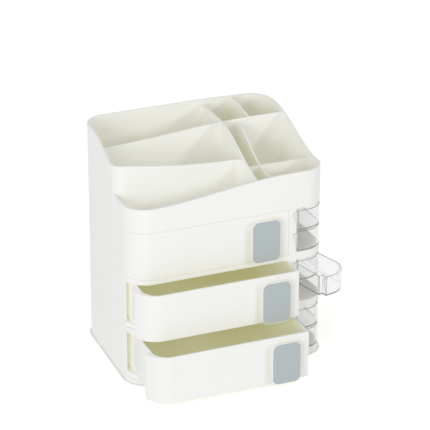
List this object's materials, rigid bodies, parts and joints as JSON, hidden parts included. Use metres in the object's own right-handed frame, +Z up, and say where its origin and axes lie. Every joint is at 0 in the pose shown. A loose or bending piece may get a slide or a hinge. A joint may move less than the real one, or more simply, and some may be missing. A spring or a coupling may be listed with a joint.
{
  "type": "makeup drawer organizer",
  "caption": "White desk organizer for cosmetics with stacked drawers, clear trays that swing out at one side and an open stepped top.",
  "frame": {"origin": "centre of the case's footprint, on the surface that it stands on", "axes": "+X to the case's right as seen from the front, +Y from the front to the back, +Z up"},
  "size_m": [0.3003, 0.2654, 0.297],
  "materials": {
    "white_plastic": "satin",
    "grey_pad": "satin",
    "clear_plastic": "gloss",
    "steel": "satin",
    "rubber": "matte"
  },
  "bodies": {
    "case": {"lower_housing": "white_plastic", "middle_housing": "white_plastic", "upper_housing": "white_plastic", "lower_hinge_pin": "steel", "middle_hinge_pin": "steel", "upper_hinge_pin": "steel", "feet": "rubber"},
    "lower_drawer": {"lower_drawer": "white_plastic", "lower_handle": "white_plastic", "lower_handle_pad": "grey_pad"},
    "middle_drawer": {"middle_drawer": "white_plastic", "middle_handle": "white_plastic", "middle_handle_pad": "grey_pad"},
    "upper_drawer": {"upper_drawer": "white_plastic", "upper_handle": "white_plastic", "upper_handle_pad": "grey_pad"},
    "lower_tray_bottom": {"lower_tray_bottom": "clear_plastic"},
    "lower_tray_top": {"lower_tray_top": "clear_plastic"},
    "middle_tray_bottom": {"middle_tray_bottom": "clear_plastic"},
    "middle_tray_top": {"middle_tray_top": "clear_plastic"},
    "upper_tray_bottom": {"upper_tray_bottom": "clear_plastic"},
    "upper_tray_top": {"upper_tray_top": "clear_plastic"}
  },
  "joints": [
    {"name": "lower_drawer_slide", "type": "slide", "parent": "case", "child": "lower_drawer", "axis": [0, -1, 0], "range_m": [-0.0656, 0.0744]},
    {"name": "middle_drawer_slide", "type": "slide", "parent": "case", "child": "middle_drawer", "axis": [0, -1, 0], "range_m": [-0.0335, 0.1065]},
    {"name": "upper_drawer_slide", "type": "slide", "parent": "case", "child": "upper_drawer", "axis": [0, -1, 0], "range_m": [0, 0.14]},
    {"name": "lower_tray_bottom_swing", "type": "hinge", "parent": "case", "child": "lower_tray_bottom", "pos_m": [0.119, 0.074, 0.0095], "axis": [0, 0, 1], "range_deg": [0, 80]},
    {"name": "lower_tray_top_swing", "type": "hinge", "parent": "case", "child": "lower_tray_top", "pos_m": [0.119, 0.074, 0.0387], "axis": [0, 0, 1], "range_deg": [0, 80]},
    {"name": "middle_tray_bottom_swing", "type": "hinge", "parent": "case", "child": "middle_tray_bottom", "pos_m": [0.119, 0.074, 0.0797], "axis": [0, 0, 1], "range_deg": [-13.7, 66.3]},
    {"name": "middle_tray_top_swing", "type": "hinge", "parent": "case", "child": "middle_tray_top", "pos_m": [0.119, 0.074, 0.1089], "axis": [0, 0, 1], "range_deg": [0, 80]},
    {"name": "upper_tray_bottom_swing", "type": "hinge", "parent": "case", "child": "upper_tray_bottom", "pos_m": [0.119, 0.074, 0.1499], "axis": [0, 0, 1], "range_deg": [0, 80]},
    {"name": "upper_tray_top_swing", "type": "hinge", "parent": "case", "child": "upper_tray_top", "pos_m": [0.119, 0.074, 0.1791], "axis": [0, 0, 1], "range_deg": [0, 80]}
  ]
}
